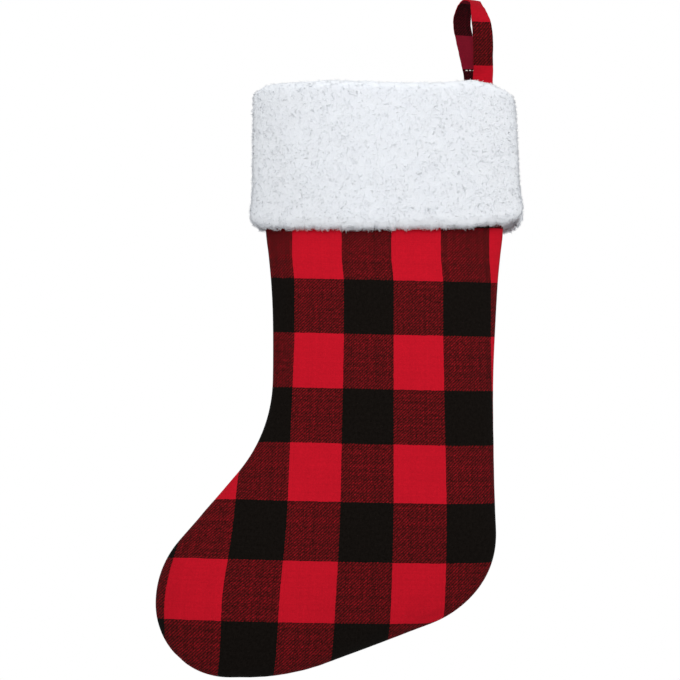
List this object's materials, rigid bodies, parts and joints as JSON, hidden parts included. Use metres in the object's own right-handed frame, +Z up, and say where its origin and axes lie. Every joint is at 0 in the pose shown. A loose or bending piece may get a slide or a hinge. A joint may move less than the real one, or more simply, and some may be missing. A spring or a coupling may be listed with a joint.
{
  "type": "hanging stocking",
  "caption": "Fabric stocking to hang on a hook, with a plaid shell, sewn lining, folded plush cuff and a strap loop; open at the mouth to hold small gifts.",
  "frame": {"origin": "the point inside the crown of the hanging loop that rests on the hook", "axes": "+Z up; +Y to the back of the stocking, towards the wall; -X to the toe, +X to the heel"},
  "size_m": [0.2805, 0.0568, 0.5201],
  "materials": {
    "plaid_flannel": "brushed red and black twill plaid",
    "white_plush": "short curly white plush",
    "lining_cloth": "plain woven lining",
    "black_thread": "spun sewing thread",
    "white_thread": "spun sewing thread"
  },
  "bodies": {
    "loop": {"hanging_loop": "plaid_flannel", "loop_bar_tack": "white_thread"},
    "stocking": {"shell_front": "plaid_flannel", "shell_back": "plaid_flannel", "lining_front": "lining_cloth", "lining_back": "lining_cloth", "cuff_front": "white_plush", "cuff_back": "white_plush", "loop_tail_front": "plaid_flannel", "loop_tail_back": "plaid_flannel", "loop_anchor_thread": "white_thread", "shell_seam_thread": "black_thread", "lining_seam_thread": "white_thread", "mouth_seam_thread": "white_thread", "cuff_seam_thread_toe_side": "white_thread", "cuff_seam_thread_heel_side": "white_thread"}
  },
  "joints": [
    {"name": "stocking_swing", "type": "hinge", "parent": "loop", "child": "stocking", "pos_m": [0.0064, 0, -0.0565], "axis": [1, 0, 0], "range_deg": [-60, 60]}
  ]
}
